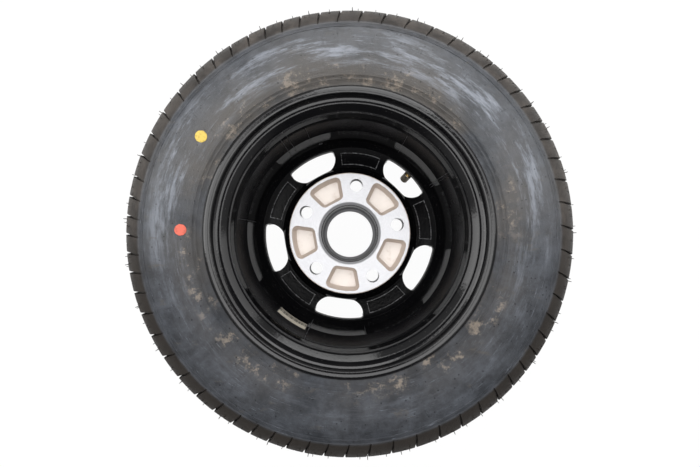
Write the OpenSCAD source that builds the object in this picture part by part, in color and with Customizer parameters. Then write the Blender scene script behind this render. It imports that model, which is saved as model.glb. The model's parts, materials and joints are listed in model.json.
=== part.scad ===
// Alloy trailer wheel with its tubeless tyre, snap-in valve and barrel label.
// The origin is the wheel's centre, on its axis and midway between the rim flanges.
// +Z points along the axis to the inboard side, which faces the hub of the trailer.

/* [Tyre] */
// Outside diameter of the tyre over the tread
tyre_d = 468.5; // [464:0.5:474]
// Width of the tyre at the widest part of its sidewalls
section_w = 195; // [192:0.5:200]
// Radius at which the sidewall is widest
belly_r = 181; // [179:0.5:183]
// Fall of the crown from the middle of the tread to its shoulder
crown_drop = 3.05; // [2.6:0.05:4]
// Width of the tread over which the crown falls by that much
crown_w = 96; // [92:0.5:100]
// Thickness of the sidewall
sidewall_t = 8; // [6:0.5:10]
// Thickness of the crown, tread and belts together
crown_t = 15; // [13:0.5:18]
// Width of the bead where it sits on the rim
bead_w = 15; // [13:0.5:16]
// Drop from the widest part of the rim's flange to the foot of the sidewall
foot_drop = 0.7; // [0.5:0.1:1.5]

/* [Tread] */
// Number of shoulder slots on each side
slot_count = 64; // [48:1:72]
// Width of a shoulder slot at the edge of the tread
slot_w = 3.2; // [2:0.1:4]
// Width of a shoulder slot where it runs out on the sidewall
slot_end_w = 1.2; // [0.8:0.1:1.8]
// Depth of a shoulder slot at the edge of the tread
slot_depth = 6; // [4:0.5:7.5]
// Angle through which a slot leans from its outer end to its inner end
slot_lean = 1.6; // [0:0.1:2.5]
// How far the slots stray from even spacing, so that the tread doesn't hum
pitch_shift = 1.7; // [0:0.1:2]
// Width of a groove that runs round the tread
groove_w = 8; // [6:0.5:9]
// Depth of a groove that runs round the tread
groove_depth = 7.5; // [5:0.5:9]
// Distance from the middle of the tread to the inner pair of grooves
inner_groove_z = 15; // [13:0.5:18]
// Distance from the middle of the tread to the outer pair of grooves
outer_groove_z = 43; // [40:0.5:45]
// Radius of the ledge at which the shoulder blocks end
ledge_r = 204; // [201:0.5:207]
// Height of that ledge above the sidewall
ledge_step = 0.8; // [0.5:0.1:1.2]
// Radius of the fine rib that runs round the sidewall below the ledge
side_rib_r = 199.5; // [196:0.5:200]

/* [Rim] */
// Diameter of the bead seats
seat_d = 254; // [252:0.5:256]
// Width of the rim between its flanges
rim_w = 152.4; // [150:0.2:154]
// Height of a flange above its bead seat
flange_h = 17.3; // [16.5:0.1:18]
// Section radius of the flange's outer curve
flange_curve_r = 9.5; // [9:0.1:10]
// Reach of the lip beyond the flange's inner face
lip_reach = 12.3; // [11.5:0.1:13]
// Width of a bead seat, flange to slope
seat_len = 24; // [23:0.5:25]
// Thickness of the rim under a bead seat
seat_wall = 7.5; // [6.5:0.5:8.5]
// Height of the safety hump beside each bead seat
hump_h = 1.2; // [0.8:0.1:1.5]
// Radius of the drop-centre well on the tyre's side
well_r = 117.5; // [116.5:0.5:118.5]
// Thickness of the rim under the well
well_wall = 5; // [4.5:0.5:5.5]
// Height at which the long inboard slope meets the well
well_start_z = 30; // [26:1:34]
// Thickness of the steep outboard slope that carries the valve
slope_wall = 6.5; // [6:0.5:7.5]
// Height of the two fine ribs inside the barrel
barrel_rib_h = 0.7; // [0.4:0.1:1]
// Width of a fine rib at its foot
barrel_rib_w = 1.6; // [1.2:0.1:2]
// Distance from one fine rib to the next
barrel_rib_step = 3.6; // [3:0.1:5]

/* [Disc] */
// Distance of the mounting face inboard of the rim's centre line
pad_z = 4; // [2:0.5:8]
// Diameter of the machined mounting face
pad_d = 139.8; // [138:0.2:142]
// Diameter of the hub where its flared side ends
flare_d = 156; // [153:1:158]
// Height at which the hub's flared side ends
flare_z = -22; // [-24:0.5:-20]
// Height of the spokes' back face
spoke_back_z = -33; // [-35:0.5:-31]
// Thickness of the spokes along the axis
spoke_t = 24; // [22:0.5:27]
// Height of the hub's nose above the spokes' front face
nose_h = 5; // [3:0.5:7]
// Diameter of the hub's nose
nose_d = 124; // [120:1:128]
// Inner radius of the ring that the spokes end in
ring_r = 105; // [104:0.5:106]
// Number of spokes, of windows and of wheel bolts
spoke_count = 5; // [5:1:5]
// Angle of the first bolt hole and spoke, from +X towards +Y
first_bolt_a = 82.2; // [0:0.1:359]
// Distance from the axis to the inner edge of a window
window_inner = 79.3; // [78:0.1:81]
// Width of a window
window_w = 60; // [56:0.5:62]
// Radius of a window's two inner corners
window_inner_corner_r = 19.5; // [16:0.5:22]
// Radius of a window's two outer corners
window_outer_corner_r = 4; // [3:0.5:6]
// Inner radius of the sunk panel on the back of a spoke
panel_r = 86; // [84.5:0.1:88]
// Radial height of that panel
panel_h = 14; // [11:0.5:15]
// Angle across that panel
panel_a = 28; // [24:0.5:30]
// Depth of that panel
panel_depth = 3; // [1.5:0.1:4]

/* [Hub] */
// Diameter of the pilot bore that centres the wheel
bore_d = 66.6; // [65:0.1:68]
// Length of the pilot bore
bore_len = 12; // [9:0.5:15]
// Size of the chamfer at the mouth of the pilot bore
bore_chamfer = 3; // [2:0.1:3.5]
// Diameter of the cap seat at the front of the hub
cap_seat_d = 58.6; // [57:0.1:60]
// Length of the cap seat
cap_seat_len = 9; // [7:0.5:11]
// Diameter of the circle that the bolt holes stand on
bolt_circle_d = 112; // [111:0.1:113]
// Diameter of a bolt hole
bolt_hole_d = 14.7; // [13.5:0.1:15.5]
// Distance from the mounting face to the mouth of a bolt's tapered seat
bolt_seat_depth = 18; // [16:0.5:20]
// Diameter of the well round each bolt's head
bolt_well_d = 28; // [26:0.5:29]
// Depth of a cast pocket in the mounting face
pocket_depth = 12; // [8:0.5:14]
// Inner radius of a pocket's mouth
pocket_inner_r = 39.8; // [39.3:0.1:41]
// Outer radius of a pocket's mouth
pocket_outer_r = 66.6; // [65:0.1:67]
// Angle across a pocket's mouth
pocket_a = 36.7; // [33:0.1:38]
// Corner radius of a pocket's mouth
pocket_corner_r = 6; // [5.5:0.1:7]
// Distance by which a pocket's walls lean in from its mouth to its floor
pocket_draft = 4.2; // [2:0.1:4.6]

/* [Valve] */
// Angle of the valve, from +X towards +Y
valve_a = 45.6; // [42:0.1:50]
// Tilt of the valve and of the steep slope from the wheel's axis
valve_tilt = 38; // [35:0.5:40]
// Distance of the valve from the middle of the steep slope, down towards the well
valve_offset = 1.5; // [0:0.1:2]
// Diameter of the valve hole in the rim
valve_hole_d = 11.5; // [11.3:0.1:11.8]
// Thickness of the rim between the valve hole's two spot faces
valve_wall = 4; // [3:0.1:4.5]
// Diameter of the spot faces round the valve hole
spot_d = 16.6; // [16:0.1:17.5]
// Diameter of the valve's rubber foot inside the tyre
foot_d = 15.8; // [14:0.1:15.9]
// Thickness of the valve's rubber foot
foot_t = 5.5; // [4.5:0.1:6.5]
// Diameter of the rubber collar outside the rim
collar_d = 15; // [13.5:0.1:15.8]
// Height of the rubber collar
collar_h = 3; // [2:0.1:4]
// Diameter of the rubber neck above the collar
neck_d = 11; // [10:0.1:12]
// Diameter of the rubber neck at its tip
neck_tip_d = 8.6; // [8.2:0.1:9]
// Distance from the rim to the tip of the rubber neck
neck_len = 13; // [11.5:0.5:14]
// Distance from the rim to the end of the brass stem
stem_len = 25.5; // [24.5:0.1:27]
// Diameter of the brass stem inside the rubber
stem_d = 6.5; // [6:0.1:6.8]
// Outside diameter of the stem's threaded end
stem_thread_d = 7.7; // [7.5:0.1:7.8]
// Diameter of the air way through the stem
airway_d = 3.8; // [3.6:0.1:4]
// Diameter of the bore that the valve core screws into
core_bore_d = 5.1; // [5:0.05:5.3]
// Depth of that bore
core_bore_len = 17.2; // [16.8:0.1:18]

/* [Valve core] */
// Depth of the core's top face below the end of the stem
core_sink = 1; // [0.6:0.1:1.6]
// Length of the core's body
core_len = 13.6; // [13:0.1:14.2]
// Length of the core's threaded head
core_head_len = 5.5; // [4.5:0.1:6]
// Diameter of the core's shank below its head
shank_d = 3.8; // [3.6:0.1:4]
// Height of the sealing washer under the head
washer_h = 1.6; // [1.2:0.1:2]
// Diameter of the spring chamber in the core
chamber_d = 2.9; // [2.8:0.05:3]
// Thickness of the floor under the spring chamber
chamber_floor_t = 1.3; // [1:0.1:1.6]
// Diameter of the core's pin
pin_d = 1.1; // [1:0.05:1.2]
// Diameter of the pin's collar and of its top button
pin_collar_d = 2.2; // [2:0.05:2.4]
// Height of the pin's collar above the floor of the chamber
pin_collar_z = 6; // [5:0.1:7]
// Travel of the pin when it is pressed
pin_travel = 1.2; // [0.8:0.1:1.5]
// Diameter of the cup at the foot of the pin
cup_d = 3.3; // [3.1:0.05:3.4]
// Thickness of that cup
cup_t = 1.2; // [0.9:0.1:1.4]
// Thickness of the rubber disc that the cup holds against the core
disc_t = 0.6; // [0.4:0.05:0.8]
// Diameter of the spring's wire
wire_d = 0.25; // [0.2:0.01:0.3]
// Number of turns of the spring
spring_turns = 6; // [4:1:7]

/* [Valve cap] */
// Outside diameter of the cap
cap_d = 10.2; // [9.8:0.1:10.8]
// Length of the cap's skirt over the stem
cap_skirt = 10.4; // [9:0.1:11]
// Thickness of the cap's top
cap_top_t = 1.6; // [1.2:0.1:2]
// Thickness of the sealing disc in the cap
cap_seal_t = 0.8; // [0.6:0.1:1]
// Number of flutes round the cap
flute_count = 16; // [12:1:20]
// Depth of those flutes
flute_depth = 0.35; // [0.2:0.05:0.45]

/* [Label] */
// Angle of the label's right-hand end, from +X towards +Y
label_start_a = -132.9; // [-140:0.1:-120]
// Angle across the label
label_a = 18.5; // [14:0.1:22]
// Height of the label's lower edge
label_z = 20.5; // [18:0.5:24]
// Height of the label along the axis
label_h = 18.5; // [12:0.5:20]
// Thickness of the label's foil
label_t = 0.25; // [0.2:0.01:0.4]

/* [Fits] */
// Clearance between the tyre's bead and the rim
bead_clear = 0.1; // [0.05:0.01:0.2]
// Clearance between pieces that are bonded or screwed together
seat_clear = 0.03; // [0.02:0.01:0.05]
// Radial clearance of the pieces that slide or turn
run_clear = 0.1; // [0.06:0.01:0.12]

/* [Hidden] */
$fn = 96;
// Overshoot of a cutting shape past the face that it cuts
over = 1;
// Depth by which shapes of one casting run into each other
join = 1;

// Straight sides round the crown's disc and round the shoulder's disc in section
crown_sides = 144;
shoulder_sides = 48;

// Points of the dish inside a lip, out from the bead seat's underside and up from the flange
dish_foot = [[0, -1], [1.6, -1], [3.1, 0.9], [8.1, 5.2], [9.1, 5.5]];
// Points of the cove and the rolled lip, out from the flange's edge and up from the lip's top
dish_lip = [
    [-13.9, -6.6], [-11.9, -6], [-10.1, -4.8], [-9.3, -3.5], [-8.7, -1.7], [-7.7, -0.6],
    [-6.1, 0], [-3.3, 0], [-1.7, -0.5], [-0.6, -1.7], [over, -1.7]
];

// Tyre section
tyre_r = tyre_d / 2;
half_section = section_w / 2;
upper_side_r = tyre_r - crown_drop - ledge_step - belly_r;
upper_side_z = half_section - upper_side_r;
crown_curve_r = (crown_w * crown_w / 4 + crown_drop * crown_drop) / (2 * crown_drop);

// Rim section
seat_r = seat_d / 2;
half_rim = rim_w / 2;
flange_r = seat_r + flange_h;
lip_z = half_rim + lip_reach;
flange_center_r = flange_r - flange_curve_r;
flange_center_z = half_rim + flange_curve_r;
bead_toe_z = half_rim - bead_w;
foot_side = belly_r - flange_r;
foot_rise = half_section - flange_center_z + foot_drop;
lower_side_r = (foot_side * foot_side + foot_rise * foot_rise) / (2 * foot_rise);
lower_side_z = half_section - lower_side_r;
seat_end_z = half_rim - seat_len;
barrel_r = well_r - well_wall;
under_seat_r = seat_r - seat_wall;
steep_start_z = -seat_end_z + (seat_r - well_r) * tan(valve_tilt);

// Disc
spoke_step_a = 360 / spoke_count;
window_first_a = first_bolt_a + spoke_step_a / 2;
spoke_front_z = spoke_back_z - spoke_t;
nose_z = spoke_front_z - nose_h;
pad_r = pad_d / 2;
flare_r = flare_d / 2;
bore_r = bore_d / 2;
cap_seat_r = cap_seat_d / 2;
bolt_r = bolt_hole_d / 2;
bolt_well_r = bolt_well_d / 2;

// Valve, measured along its own axis from the rim's outer spot face
hole_r = valve_hole_d / 2;
spot_r = spot_d / 2;
valve_mid_r = (well_r + seat_r) / 2 - valve_offset * cos(valve_tilt);
valve_mid_z = (steep_start_z - seat_end_z) / 2 + valve_offset * sin(valve_tilt);
valve_in = slope_wall - (slope_wall - valve_wall) / 2;
stem_r = stem_d / 2;
core_top = stem_len - core_sink;
core_foot = core_top - core_len;
chamber_floor = core_foot + chamber_floor_t;
cap_ceiling = stem_len + seat_clear + cap_seal_t;

// Height of the front of the steep slope at a radius
function slope_front_z(r) = steep_start_z - slope_wall * cos(valve_tilt)
    - (r - well_r + slope_wall * sin(valve_tilt)) * tan(valve_tilt);

// Inner radius of the barrel at a height on the well or on the slope above it
function barrel_inner_r(z) = barrel_r + (under_seat_r - barrel_r)
    * max(0, z - well_start_z) / (seat_end_z - well_start_z);

// Angle of a shoulder slot: even spacing with five slow waves laid over it
function slot_angle(i) = 360 / slot_count * i + pitch_shift * sin(5 * 360 / slot_count * i);

// A point at a radius and an angle
function polar(r, a) = [r * cos(a), r * sin(a)];

// Runs its children on both sides of the wheel's middle plane
module both_sides() {
    children();
    mirror([0, 0, 1]) children();
}

// Runs its children on both sides of a section's middle line
module both_halves() {
    children();
    mirror([0, 1]) children();
}

// A disc with straight sides: the slots cut the cones that it makes cleanly
module sided_disc(r, sides) {
    polygon([for (i = [0 : sides - 1]) polar(r, 360 / sides * i)]);
}

// The crown's disc in section, sunk by a depth
module crown_disc(depth, sides) {
    translate([tyre_r - crown_curve_r, 0]) sided_disc(crown_curve_r - depth, sides);
}

// Half of the tyre's section with the inside left solid, shrunk by a thickness
module tyre_form(side_t, top_t) {
    intersection() {
        union() {
            intersection() {
                translate([belly_r, upper_side_z]) circle(r = upper_side_r - side_t);
                translate([belly_r, 0]) square(section_w);
            }
            intersection() {
                translate([belly_r, lower_side_z]) circle(r = lower_side_r - side_t);
                translate([belly_r - section_w, 0]) square(section_w);
            }
            if (lower_side_z > 0)
                translate([belly_r - lower_side_r + side_t, 0])
                    square([lower_side_r - side_t + section_w, lower_side_z]);
            translate([belly_r, 0]) square([section_w, upper_side_z]);
        }
        crown_disc(top_t, crown_sides);
    }
}

// The band of thicker rubber above the ledge
module shoulder_band() {
    intersection() {
        translate([belly_r, upper_side_z]) sided_disc(upper_side_r + ledge_step, shoulder_sides);
        crown_disc(0, crown_sides);
        translate([ledge_r, 0]) square(section_w);
    }
}

// The space that the rim's flange takes
module flange_space() {
    translate([flange_center_r, flange_center_z]) circle(r = flange_curve_r + bead_clear);
    translate([flange_center_r - section_w, half_rim - bead_clear]) square([section_w, section_w]);
}

// Half of the tyre's section with its ledge, its fine rib, its bead and its grooves
module tyre_half_section() {
    bead_cover = flange_h + flange_curve_r / 4;
    side_rib_z = upper_side_z
        + sqrt(upper_side_r * upper_side_r - (side_rib_r - belly_r) * (side_rib_r - belly_r));
    difference() {
        union() {
            difference() {
                tyre_form(0, 0);
                tyre_form(sidewall_t, crown_t);
                square([belly_r, bead_toe_z]);
            }
            difference() {
                shoulder_band();
                tyre_form(sidewall_t, crown_t);
            }
            difference() {
                translate([seat_r, bead_toe_z])
                    square([bead_cover, flange_center_z - bead_toe_z]);
                translate([belly_r, lower_side_z]) circle(r = lower_side_r - sidewall_t);
            }
            translate([side_rib_r, side_rib_z]) circle(r = ledge_step);
        }
        flange_space();
        square([seat_r + bead_clear, section_w]);
        for (z = [inner_groove_z, outer_groove_z])
            translate([tyre_r - crown_drop - groove_depth, z - groove_w / 2]) square([section_w, groove_w]);
    }
}

// A slot's outline along the wheel: the rubber that it takes out, less towards the ledge
module slot_outline() {
    fade = slot_depth - ledge_step;
    difference() {
        translate([ledge_r, outer_groove_z])
            square([tyre_r + over - ledge_r, half_section - outer_groove_z]);
        intersection() {
            union() {
                translate([belly_r - fade, upper_side_z + fade / 2])
                    sided_disc(upper_side_r, shoulder_sides / 2);
                square([tyre_r, upper_side_z]);
            }
            crown_disc(slot_depth, crown_sides / 2);
        }
    }
}

// One shoulder slot, which narrows and leans on its way in to the ledge
module shoulder_slot() {
    inner = ledge_r - over;
    outer = tyre_r + 2 * over;
    lean = ledge_r * sin(slot_lean);
    intersection() {
        rotate([90, 0, 0])
            translate([0, 0, -2 * lean - slot_w])
                linear_extrude(height = 3 * lean + 2 * slot_w) slot_outline();
        linear_extrude(height = section_w)
            polygon([
                [inner, lean - slot_end_w / 2],
                [outer, -slot_w / 2],
                [outer, slot_w / 2],
                [inner, lean + slot_end_w / 2]
            ]);
    }
}

module shoulder_slots() {
    for (i = [0 : slot_count - 1])
        rotate(slot_angle(i)) shoulder_slot();
}

module tyre() {
    color([0.16, 0.16, 0.17])
        difference() {
            rotate_extrude() both_halves() tyre_half_section();
            both_sides() shoulder_slots();
        }
}

// Section of the rim without its dished lips
module rim_section() {
    polygon([
        [seat_r, half_rim],
        [seat_r, seat_end_z],
        [well_r, well_start_z],
        [well_r, steep_start_z],
        [seat_r, -seat_end_z],
        [seat_r, -half_rim],
        [flange_center_r, -half_rim],
        [flange_center_r, -flange_center_z],
        [under_seat_r, -flange_center_z],
        [under_seat_r, slope_front_z(under_seat_r)],
        [ring_r + join, slope_front_z(ring_r + join)],
        [ring_r + join, spoke_back_z - join],
        [barrel_r, flare_z],
        [barrel_r, well_start_z],
        [under_seat_r, seat_end_z],
        [under_seat_r, flange_center_z],
        [flange_center_r, flange_center_z],
        [flange_center_r, half_rim]
    ]);
}

// The dish inside a lip: a chamfer, a cove and the inside of the rolled lip
module lip_dish() {
    above = lip_z + section_w;
    foot = [for (p = dish_foot) [under_seat_r + p[0], half_rim + p[1]]];
    lip = [for (p = dish_lip) [flange_r + p[0], lip_z + p[1]]];
    polygon(concat([[0, above], [0, foot[0][1]]], foot, lip, [[flange_r + over, above]]));
}

module barrel_rib() {
    flank = barrel_rib_w / 4;
    polygon([
        [join, 0],
        [0, 0],
        [-barrel_rib_h, flank],
        [-barrel_rib_h, barrel_rib_w - flank],
        [0, barrel_rib_w],
        [join, barrel_rib_w]
    ]);
}

module rim() {
    rotate_extrude()
        difference() {
            union() {
                rim_section();
                both_halves() {
                    translate([flange_center_r, flange_center_z]) circle(r = flange_curve_r);
                    translate([seat_r, bead_toe_z - bead_clear - 2 * hump_h])
                        circle(r = hump_h);
                }
                for (i = [0, 1])
                    translate([under_seat_r, seat_end_z + join + barrel_rib_step * i]) barrel_rib();
            }
            both_halves() lip_dish();
        }
}

// Hub and spokes before their openings are cut
module disc_blank() {
    pad_edge = 0.8;
    waist_r = pad_r + 2;
    foot_r = flare_r + 4;
    rotate_extrude()
        polygon([
            [0, pad_z],
            [pad_r - pad_edge, pad_z],
            [pad_r, pad_z - pad_edge],
            [waist_r, flare_z / 2],
            [flare_r, flare_z],
            [foot_r, spoke_back_z],
            [barrel_r - join, spoke_back_z],
            [barrel_r - join, slope_front_z(barrel_r - 2 * join)],
            [under_seat_r + join, slope_front_z(under_seat_r - join)],
            [under_seat_r + join, spoke_front_z + 2 * join],
            [nose_d / 2 + nose_h, spoke_front_z],
            [nose_d / 2, nose_z],
            [0, nose_z]
        ]);
}

// Outline of a window: rounded towards the hub, following the ring outside
module window_outline() {
    half_w = window_w / 2;
    big = window_inner_corner_r;
    small = window_outer_corner_r;
    offset(r = small, $fn = 24)
        offset(delta = -small)
            intersection() {
                circle(r = ring_r, $fn = 144);
                union() {
                    for (side = [-1, 1])
                        translate([side * (half_w - big), window_inner + big]) circle(r = big, $fn = 48);
                    translate([big - half_w, window_inner]) square([window_w - 2 * big, ring_r]);
                    translate([-half_w, window_inner + big]) square([window_w, ring_r]);
                }
            }
}

// Outline that a window gains in front of the ring, where it runs on to the rim
module window_front_outline() {
    relief = 0.5;
    intersection() {
        circle(r = under_seat_r + join / 2);
        translate([-window_w / 2 - relief, window_inner + window_inner_corner_r])
            square([window_w + 2 * relief, ring_r]);
    }
}

module windows() {
    front = nose_z - over;
    for (i = [0 : spoke_count - 1])
        rotate(window_first_a + spoke_step_a * i - 90)
            translate([0, 0, front]) {
                linear_extrude(height = flare_z - front) window_outline();
                linear_extrude(height = slope_front_z(ring_r) - front) window_front_outline();
            }
}

// The sunk panels on the backs of the spokes
module spoke_panels() {
    for (i = [0 : spoke_count - 1])
        rotate(first_bolt_a + spoke_step_a * i - panel_a / 2)
            rotate_extrude(angle = panel_a)
                translate([panel_r, spoke_back_z - panel_depth]) square([panel_h, panel_depth + over]);
}

// The cast pockets between the bolt holes, with walls that lean in
module pad_pockets() {
    far = pocket_outer_r - pocket_corner_r;
    near = pocket_inner_r + pocket_corner_r;
    far_a = pocket_a / 2 - asin(pocket_corner_r / far);
    near_a = pocket_a / 2 - asin(pocket_corner_r / near);
    for (i = [0 : spoke_count - 1])
        rotate(window_first_a + spoke_step_a * i)
            translate([0, 0, pad_z - pocket_depth])
                hull() {
                    for (side = [-1, -0.4, 0.4, 1])
                        translate(polar(far, side * far_a)) pocket_corner();
                    for (side = [-1, 1])
                        translate(polar(near, side * near_a)) pocket_corner();
                }
}

module pocket_corner() {
    flank = pocket_draft / pocket_depth;
    cylinder(
        r1 = pocket_corner_r - pocket_draft,
        r2 = pocket_corner_r + flank * over,
        h = pocket_depth + over,
        $fn = 32
    );
}

// The pilot bore, its relief and the seat for a centre cap
module hub_bore() {
    mouth = bore_r + bore_chamfer;
    bore_end = pad_z - bore_chamfer - bore_len;
    ledge = 0.3;
    draft = 1;
    seat_start = nose_z + cap_seat_len;
    seat_chamfer = 1.5;
    rotate_extrude()
        polygon([
            [0, pad_z + over],
            [mouth + over, pad_z + over],
            [bore_r, pad_z - bore_chamfer],
            [bore_r, bore_end],
            [bore_r - ledge, bore_end - ledge],
            [bore_r - ledge - draft, seat_start + 2 * draft],
            [cap_seat_r, seat_start],
            [cap_seat_r, nose_z + seat_chamfer],
            [cap_seat_r + seat_chamfer + over, nose_z - over],
            [0, nose_z - over]
        ]);
}

// A bolt hole with its 60 degree seat and the well round the bolt's head
module bolt_holes() {
    seat_top = pad_z - bolt_seat_depth;
    seat_foot_r = bolt_well_r - 2;
    cone_h = (seat_foot_r - bolt_r) / tan(30);
    for (i = [0 : spoke_count - 1])
        rotate(first_bolt_a + spoke_step_a * i)
            translate([bolt_circle_d / 2, 0, 0]) {
                translate([0, 0, nose_z - over])
                    cylinder(r = bolt_r, h = pad_z - nose_z + 2 * over);
                translate([0, 0, seat_top - cone_h])
                    cylinder(r1 = seat_foot_r, r2 = bolt_r, h = cone_h);
                translate([0, 0, nose_z - over])
                    cylinder(r = bolt_well_r, h = seat_top - cone_h - nose_z + over);
            }
}

// Places its children along the valve: the rim's outer spot face is at height 0
module at_valve() {
    rotate(valve_a)
        translate([
            valve_mid_r - valve_in * sin(valve_tilt),
            0,
            valve_mid_z - valve_in * cos(valve_tilt)
        ])
            rotate([0, 180 + valve_tilt, 0])
                children();
}

module valve_hole() {
    depth = 10;
    at_valve() {
        translate([0, 0, -depth]) cylinder(r = hole_r, h = 2 * depth);
        cylinder(r = spot_r, h = depth);
        translate([0, 0, -valve_wall - depth]) cylinder(r = spot_r, h = depth);
    }
}

module wheel() {
    color([0.06, 0.06, 0.065])
        difference() {
            union() {
                rim();
                difference() {
                    disc_blank();
                    windows();
                }
            }
            spoke_panels();
            pad_pockets();
            hub_bore();
            bolt_holes();
            valve_hole();
        }
}

module valve_rubber() {
    grip_r = hole_r - seat_clear;
    foot_top = -valve_wall - seat_clear;
    bore = stem_r + seat_clear;
    foot_edge = 1;
    tip_edge = 0.5;
    color([0.09, 0.09, 0.09])
        at_valve()
            rotate_extrude()
                polygon([
                    [bore, foot_top - foot_t],
                    [foot_d / 2 - foot_edge, foot_top - foot_t],
                    [foot_d / 2, foot_top - foot_t + foot_edge],
                    [foot_d / 2, foot_top],
                    [grip_r, foot_top],
                    [grip_r, seat_clear],
                    [collar_d / 2, seat_clear],
                    [collar_d / 2, collar_h / 2],
                    [neck_d / 2, collar_h * 1.5],
                    [neck_tip_d / 2, neck_len - 2 * tip_edge],
                    [neck_tip_d / 2 - tip_edge, neck_len],
                    [bore, neck_len]
                ]);
}

module valve_stem() {
    foot = -valve_wall - foot_t;
    thread_r = stem_thread_d / 2;
    thread_start = neck_len + 0.3;
    chamfer = 0.5;
    color([0.78, 0.62, 0.32])
        at_valve()
            difference() {
                rotate_extrude()
                    polygon([
                        [0, foot],
                        [stem_r, foot],
                        [stem_r, thread_start],
                        [thread_r - chamfer, thread_start],
                        [thread_r, thread_start + chamfer],
                        [thread_r, stem_len - chamfer],
                        [thread_r - chamfer, stem_len],
                        [0, stem_len]
                    ]);
                translate([0, 0, foot - over]) cylinder(d = airway_d, h = stem_len - foot + 2 * over);
                translate([0, 0, stem_len - core_bore_len])
                    cylinder(d = core_bore_d, h = core_bore_len + over);
            }
}

module core_body() {
    head_r = core_bore_d / 2 - seat_clear;
    slot_w = pin_collar_d / 3;
    color([0.75, 0.72, 0.62])
        at_valve()
            difference() {
                union() {
                    translate([0, 0, core_top - core_head_len])
                        cylinder(r = head_r, h = core_head_len);
                    translate([0, 0, core_foot]) cylinder(d = shank_d, h = core_len);
                }
                translate([0, 0, chamber_floor]) cylinder(d = chamber_d, h = core_len);
                translate([0, 0, core_foot - over])
                    cylinder(d = pin_d + 2 * run_clear, h = chamber_floor_t + 2 * over);
                translate([0, 0, core_top])
                    cube([2 * head_r + over, slot_w, 4 * slot_w], center = true);
            }
}

module core_washer() {
    washer_top = core_top - core_head_len - seat_clear;
    color([0.75, 0.2, 0.15])
        at_valve()
            translate([0, 0, washer_top - washer_h])
                difference() {
                    cylinder(r = core_bore_d / 2 - seat_clear, h = washer_h);
                    translate([0, 0, -over]) cylinder(r = shank_d / 2 + seat_clear, h = washer_h + 2 * over);
                }
}

module core_pin() {
    collar_t = 0.7;
    button_h = 0.5;
    cup_top = core_foot - seat_clear - disc_t - seat_clear;
    pin_top = core_top + core_sink / 2;
    color([0.7, 0.7, 0.7])
        at_valve() {
            translate([0, 0, cup_top - cup_t]) cylinder(d = cup_d, h = cup_t);
            translate([0, 0, cup_top]) cylinder(d = pin_d, h = pin_top - cup_top);
            translate([0, 0, chamber_floor + pin_collar_z]) cylinder(d = pin_collar_d, h = collar_t);
            translate([0, 0, pin_top - button_h]) cylinder(d = pin_collar_d, h = button_h);
        }
}

module core_disc() {
    color([0.12, 0.12, 0.12])
        at_valve()
            translate([0, 0, core_foot - seat_clear - disc_t])
                difference() {
                    cylinder(d = cup_d, h = disc_t);
                    translate([0, 0, -over]) cylinder(r = pin_d / 2 + seat_clear, h = disc_t + 2 * over);
                }
}

// A coil spring: a ring of points carried round a helix
module coil(mean_r, wire, height, turns) {
    sides = 8;
    steps = 20 * turns;
    rise = height - wire;
    points = [
        for (i = [0 : steps], j = [0 : sides - 1])
            let (
                a = 360 * turns * i / steps,
                b = 360 * j / sides,
                r = mean_r + wire / 2 * cos(b)
            )
            [r * cos(a), r * sin(a), wire / 2 + rise * i / steps + wire / 2 * sin(b)]
    ];
    tube = [
        for (i = [0 : steps - 1], j = [0 : sides - 1])
            let (k = (j + 1) % sides)
            [i * sides + j, i * sides + k, (i + 1) * sides + k, (i + 1) * sides + j]
    ];
    first = [for (j = [sides - 1 : -1 : 0]) j];
    last = [for (j = [0 : sides - 1]) steps * sides + j];
    polyhedron(points = points, faces = concat(tube, [first, last]), convexity = 10);
}

module core_spring() {
    coil_r = (chamber_d / 2 + pin_d / 2) / 2;
    color([0.65, 0.66, 0.68])
        at_valve()
            translate([0, 0, chamber_floor + seat_clear])
                coil(coil_r, wire_d, pin_collar_z - 2 * seat_clear, spring_turns);
}

module cap_seal() {
    color([0.1, 0.1, 0.1])
        at_valve()
            translate([0, 0, stem_len + seat_clear])
                difference() {
                    cylinder(d = stem_thread_d, h = cap_seal_t);
                    translate([0, 0, -over]) cylinder(d = pin_collar_d, h = cap_seal_t + 2 * over);
                }
}

module valve_cap() {
    foot = stem_len - cap_skirt;
    top = cap_ceiling + seat_clear + cap_top_t;
    foot_edge = 0.3;
    top_edge = 1.2;
    flute_r = 0.7;
    color([0.62, 0.58, 0.5])
        at_valve()
            difference() {
                rotate_extrude()
                    polygon([
                        [0, foot],
                        [cap_d / 2 - foot_edge, foot],
                        [cap_d / 2, foot + foot_edge],
                        [cap_d / 2, top - top_edge],
                        [cap_d / 2 - top_edge, top],
                        [0, top]
                    ]);
                translate([0, 0, foot - over])
                    cylinder(r = stem_thread_d / 2 + run_clear, h = cap_ceiling + seat_clear - foot + over);
                for (i = [0 : flute_count - 1])
                    rotate(360 / flute_count * i)
                        translate([cap_d / 2 + flute_r - flute_depth, 0, foot + top_edge])
                            cylinder(r = flute_r, h = top - foot);
            }
}

// The label follows the barrel over its bend
module barrel_label() {
    heights = [label_z, well_start_z, label_z + label_h];
    back = [for (z = heights) [barrel_inner_r(z) - seat_clear, z]];
    face = [for (i = [2 : -1 : 0]) back[i] - [label_t, 0]];
    color([0.72, 0.69, 0.6])
        rotate(label_start_a)
            rotate_extrude(angle = label_a)
                polygon(concat(back, face));
}

tyre();
wheel();
valve_rubber();
valve_stem();
core_body();
core_washer();
core_pin();
core_disc();
core_spring();
cap_seal();
valve_cap();
barrel_label();
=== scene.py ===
"""Looks of an alloy trailer wheel with its tyre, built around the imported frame."""

import json
import math
from collections import namedtuple
from functools import cache

import bmesh
import bpy
import numpy as np
from bpy.props import FloatProperty, FloatVectorProperty, IntProperty, PointerProperty
from mathutils import Matrix, Vector


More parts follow.
